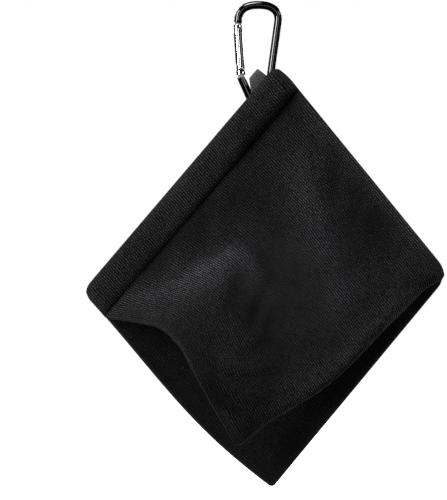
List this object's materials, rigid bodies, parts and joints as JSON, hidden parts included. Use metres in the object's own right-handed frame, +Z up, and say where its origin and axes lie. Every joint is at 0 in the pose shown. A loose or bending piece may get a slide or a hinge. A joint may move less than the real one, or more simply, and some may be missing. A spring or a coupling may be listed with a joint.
{
  "type": "golf towel",
  "caption": "Square black pocket towel of two joined leaves with a hemmed mouth, hung by a webbing loop from a small gated carabiner; the free front flap lifts over a golf ball.",
  "frame": {"origin": "the inner top of the carabiner's arch, where whatever holds the towel up bears on the rod", "axes": "+Z is up, +X is to the right seen from the front, and the front leaf faces -Y; the carabiner's rod lies in the plane Y = 0"},
  "size_m": [0.1777, 0.0524, 0.2427],
  "materials": {
    "black_enamel": "glossy black enamel or anodising on a bent rod",
    "polished_steel": "bright polished gate, rivet and pin",
    "spring_steel": "plain drawn spring wire and plunger",
    "black_terry": "deep black microfibre terry with fine knitted ribs, matte",
    "black_webbing": "flat woven black webbing, matte with a faint sheen",
    "black_thread": "black polyester sewing thread"
  },
  "bodies": {
    "carabiner": {"carabiner_body": "black_enamel", "gate_pivot_rivet": "polished_steel"},
    "gate": {"gate_tube": "polished_steel", "gate_latch_pin": "polished_steel", "gate_spring": "spring_steel"},
    "plunger": {"spring_plunger": "spring_steel"},
    "hem": {"webbing_loop": "black_webbing", "webbing_tack": "black_thread", "front_hem_band": "black_terry", "back_hem_band": "black_terry", "front_hem_thread": "black_thread", "back_hem_thread": "black_thread", "left_corner_tack": "black_thread"},
    "leaves": {"front_panel": "black_terry", "back_panel": "black_terry", "side_seam_thread": "black_thread"},
    "flap": {"front_flap": "black_terry"}
  },
  "joints": [
    {"name": "gate_hinge", "type": "hinge", "parent": "carabiner", "child": "gate", "pos_m": [-0.00885, 0, -0.02999], "axis": [0, 1, 0], "range_deg": [0, 32], "stiffness_Nm_per_rad": 0.02, "springref_deg": -17.19},
    {"name": "plunger_slide", "type": "slide", "parent": "gate", "child": "plunger", "axis": [-0.0668, 0, 0.9978], "range_m": [0, 0.0006], "deforming": ["gate_spring"]},
    {"name": "loop_swing", "type": "hinge", "parent": "carabiner", "child": "hem", "pos_m": [0.00067, 0, -0.04595], "axis": [0, 1, 0], "range_deg": [-3, 10]},
    {"name": "hem_fold", "type": "hinge", "parent": "hem", "child": "leaves", "pos_m": [-0.02745, 0, -0.0981], "axis": [-0.6484, 0, -0.7613], "range_deg": [-25, 25]},
    {"name": "flap_lift", "type": "hinge", "parent": "leaves", "child": "flap", "pos_m": [0.009, -0.00215, -0.14668], "axis": [-0.99, -0.0133, -0.1404], "range_deg": [-4, 45], "stiffness_Nm_per_rad": 0.04}
  ],
  "couplings": [
    {"joint": "plunger_slide", "follows": "gate_hinge", "m_per_rad": 0.00101}
  ]
}
